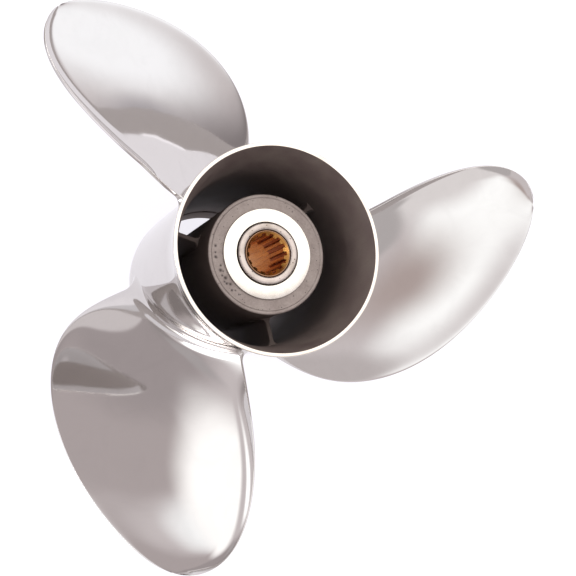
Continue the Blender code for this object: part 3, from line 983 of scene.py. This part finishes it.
reach = 6000.0
floorSize = {
    "ground": ((-reach, -reach), (reach, -reach), (reach, reach), (-reach, reach)),
    "sheet": (
        (322, -1200), (322, -126), (254, 262), (247, 318), (299, 388), (372, 500), (425, 600), (425, 1400),
        (-250, 1400), (-250, 220), (-200, 165), (-163, 85), (-120, -70), (-74, -260), (204, -1200),
    ),
    "border": (
        (261, 222), (254, 262), (247, 318), (299, 388), (372, 500), (425, 600), (441, 594), (386, 493),
        (308, 381), (257, 314), (263, 263), (270, 222),
    ),
    "dimSheet": ((-250, 1400), (-560, 1400), (-560, 560), (-250, 220)),
    "farSheet": (
        (-262, -250), (-300, -40), (-300, 50), (-900, 640), (-2400, 640), (-2400, -1200), (0, -1200),
    ),
    "lampSheet": (
        (-262, -300), (-480, -330), (-2600, -900), (-5900, -2000), (-5900, -5900), (100, -5900),
        (100, -1500), (-100, -900),
    ),
    # how far below the part's foot they lie; two of them overlap a neighbour, and lie on top of it
    "groundBelow": 1.0,
    "below": 0.5,
    "upperBelow": 0.4,
}
sheetLook = {"colour": "#7A7A7A", "roughness": 0.9, "glow": 0.9, "glowColour": "#FAF8FF"}
farSheetLook = dict(sheetLook, glow=0.7)
dimSheetLook = dict(sheetLook, glow=0.56)
borderLook = dict(sheetLook, glow=1.27)
lampSheetLook = dict(sheetLook, glow=1.06)
groundLook = {"colour": "#ACA7A7", "paleColour": "#B2ADAD", "patchSize": 90.0, "roughness": 0.85}


def makeStage(name, corners, below, finish):
    # a flat sheet under the part, facing up
    mesh = bpy.data.meshes.new(name)
    mesh.from_pydata([(x * mm, y * mm, 0.0) for x, y in corners], [], [tuple(range(len(corners)))])
    if mesh.polygons[0].normal.z < 0:
        mesh.flip_normals()
    mesh.materials.append(finish)
    floor = bpy.data.objects.new(name, mesh)
    floor.location.z = -below * mm
    bpy.context.scene.collection.objects.link(floor)


def makeSheetFinish(name, look):
    # matt opal acrylic lit from below
    made, _, _ = newMaterial(name, {
        "Base Color": linear(look["colour"]), "Roughness": look["roughness"],
        "Emission Color": linear(look["glowColour"]), "Emission Strength": look["glow"],
    })
    return made


def makeGroundFinish(look):
    # matt paint, patchy from the roller
    made, tree, shader = newMaterial("palePaintedGround", {"Roughness": look["roughness"]})
    place = addNode(tree, "TexCoord").outputs["Object"]
    patch = addNode(tree, "TexNoise", {"Vector": place, "Scale": metres(look["patchSize"]), "Detail": 4.0})
    colour = addNode(tree, "Mix", {
        0: patch.outputs["Fac"], 6: linear(look["colour"]), 7: linear(look["paleColour"]),
    }, data_type="RGBA")
    tree.links.new(colour.outputs[2], shader.inputs["Base Color"])
    return made


# Studio: a pale tent with soft panels hung round it, as steel is lit: white where it should shine and
# grey where it should fall dark

tentLook = {"colour": "#FFF8FA", "strength": 0.88}
studioPanels = (
    # azimuth, elevation, roll, half width, half height, softness, colour, strength
    (72, 63, 18, 31, 29, 0.2, "#FFFDF8", 2.1),
    (41, 20, 11, 32, 24, 0.64, "#F8FBFF", 1.58),
    (9, -4, -22, 60, 22, 0.7, "#FFF4F7", 0.34),
    (102, 17, 32, 46, 16, 0.14, "#FFF4F5", 0.63),
    (124, 45, -9, 60, 5, 1.0, "#F8FDFF", 1.75),
    (130, -1, -20, 47, 27, 0.3, "#FFF4F6", 0.52),
    (107, -3, -4, 23, 12.5, 0.1, "#FFF9FB", 0.88),
    (157, 38, -39, 16, 30, 0.45, "#FEFFFF", 1.72),
    (130, -11, -44, 5, 37, 0.14, "#FFF9FB", 0.59),
    (149, 1, 0, 20, 7, 0.6, "#FFF6F6", 0.45),
    (188, 8, -8, 30, 8, 0.3, "#FBFEFF", 2.2),
    (203, 6, 0, 22, 18, 0.5, "#FFFFFF", 7.0),
    (164, -26, 12, 25, 24, 0.4, "#FFF8F8", 0.6),
    (296, 41, -27, 60, 14, 0.54, "#FBFEFF", 1.66),
    (282, 35, -14, 25, 18, 0.9, "#FFEEEA", 0.65),
    (232, 30, -61, 60, 19, 0.4, "#FFF8F9", 0.75),
    (322, 19, -33, 20, 42, 0.4, "#FFFCFD", 1.1),
    (308, -2, 20, 12, 29, 0.13, "#FFFAFB", 0.67),
    (43, -2, -4, 15, 8, 1.0, "#FCF8FF", 0.61),
)


def lit(hexColour, strength):
    return [channel * strength for channel in linear(hexColour)[:3]] + [1.0]


def makeStudio(panels, tent):
    # each panel is an ellipse of directions on the world's sphere, laid over those before it
    world = bpy.data.worlds.new("studio")
    world.use_nodes = True
    bpy.context.scene.world = world
    tree = world.node_tree
    direction = addNode(tree, "TexCoord").outputs["Generated"]
    seen = lit(tent["colour"], tent["strength"])
    for azimuth, elevation, roll, width, height, softness, colour, strength in panels:
        around, rise = math.radians(azimuth), math.radians(elevation)
        flat = math.cos(rise)
        away = Vector((flat * math.cos(around), flat * math.sin(around), math.sin(rise)))
        side = Vector((-math.sin(around), math.cos(around), 0.0))
        upright = Matrix((side, away.cross(side), away)).transposed()
        turn = upright @ Matrix.Rotation(math.radians(roll), 3, "Z")
        panel = addNode(tree, "Mapping", {
            "Vector": direction, "Location": away, "Rotation": turn.to_euler(),
            "Scale": (math.sin(math.radians(width)), math.sin(math.radians(height)), 1.0),
        }, vector_type="TEXTURE")
        inside = addNode(tree, "TexGradient", {"Vector": panel.outputs["Vector"]}, gradient_type="SPHERICAL")
        edge = addNode(tree, "MapRange", {
            "Value": inside.outputs["Fac"], "From Max": softness,
        }, interpolation_type="SMOOTHSTEP")
        mix = addNode(tree, "Mix", {
            0: edge.outputs["Result"], 6: seen, 7: lit(colour, strength),
        }, data_type="RGBA")
        seen = mix.outputs[2]
    tree.links.new(seen, tree.nodes["Background"].inputs["Color"])


makeStage("studioGround", floorSize["ground"], floorSize["groundBelow"], makeGroundFinish(groundLook))
for name, corners, below, finish, look in (
    ("lightSheet", "sheet", "below", "opalSheet", sheetLook),
    ("sheetBorder", "border", "upperBelow", "litBorder", borderLook),
    ("dimSheet", "dimSheet", "below", "dimOpalSheet", dimSheetLook),
    ("farSheet", "farSheet", "below", "farOpalSheet", farSheetLook),
    ("lampSheet", "lampSheet", "upperBelow", "lampLitSheet", lampSheetLook),
):
    makeStage(name, floorSize[corners], floorSize[below], makeSheetFinish(finish, look))
makeStudio(studioPanels, tentLook)
bpy.context.scene.view_settings.view_transform = "Standard"
print("floor and light set")


# What each piece stands for

standIns = {
    exhaustBarrel: ("polished_stainless", ["exhaust_barrel"]),
    innerHub: ("cast_stainless", ["inner_hub"]),
    steelSleeve: ("plated_sleeve", ["steel_sleeve"]),
    rubberBush: ("bush_rubber", ["rubber_bush"]),
    splineInsert: ("spline_brass", ["spline_insert"]),
}
for number, blade in enumerate(blades):
    standIns[blade] = ("polished_stainless", [f"blade_{number + 1}"])
for number, rib in enumerate(ribs):
    standIns[rib] = ("blasted_stainless", [f"barrel_rib_{number + 1}"])
for piece, (slot, nodes) in standIns.items():
    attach(piece, "root")
    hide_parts(*nodes)
